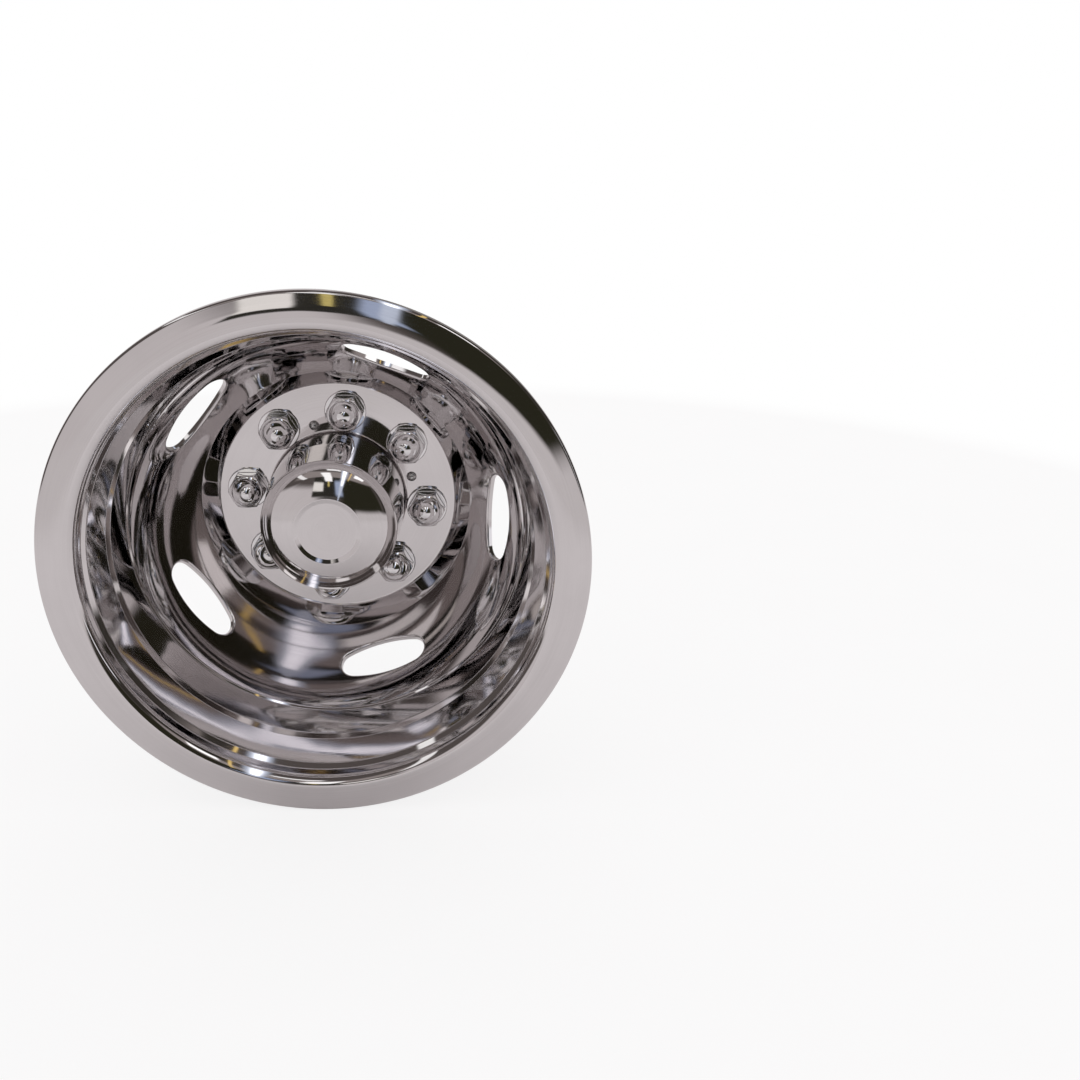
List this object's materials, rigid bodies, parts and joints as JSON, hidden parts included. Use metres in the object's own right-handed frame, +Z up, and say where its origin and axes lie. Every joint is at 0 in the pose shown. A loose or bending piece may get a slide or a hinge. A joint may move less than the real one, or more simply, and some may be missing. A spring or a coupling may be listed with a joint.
{
  "type": "truck wheel simulator",
  "caption": "Deep-dish polished steel cover for a dual rear truck wheel, with turned-in oval hand holes, domed hex nut covers and a domed hub cap.",
  "frame": {"origin": "centre of the stud circle, on the front face of the lug seat", "axes": "+Y along the axle towards the wheel that the cover is fixed to, so the face looks towards -Y; +Z up; +X to the right seen from the front"},
  "size_m": [0.4444, 0.1951, 0.4442],
  "materials": {
    "polished_stainless": "mirror-polished stainless steel",
    "bright_nut_cover": "bright plated",
    "spring_steel": "plain spring steel",
    "rivet_steel": "satin"
  },
  "bodies": {
    "root": {"liner": "polished_stainless", "hub_cap": "polished_stainless", "nut_cover_1": "bright_nut_cover", "nut_cover_2": "bright_nut_cover", "nut_cover_3": "bright_nut_cover", "nut_cover_4": "bright_nut_cover", "nut_cover_5": "bright_nut_cover", "nut_cover_6": "bright_nut_cover", "nut_cover_7": "bright_nut_cover", "nut_cover_8": "bright_nut_cover", "nut_retainer_1": "spring_steel", "nut_retainer_2": "spring_steel", "nut_retainer_3": "spring_steel", "nut_retainer_4": "spring_steel", "nut_retainer_5": "spring_steel", "nut_retainer_6": "spring_steel", "nut_retainer_7": "spring_steel", "nut_retainer_8": "spring_steel", "hub_rivet_1": "rivet_steel", "hub_rivet_2": "rivet_steel", "hub_rivet_3": "rivet_steel", "hub_rivet_4": "rivet_steel"}
  },
  "joints": []
}
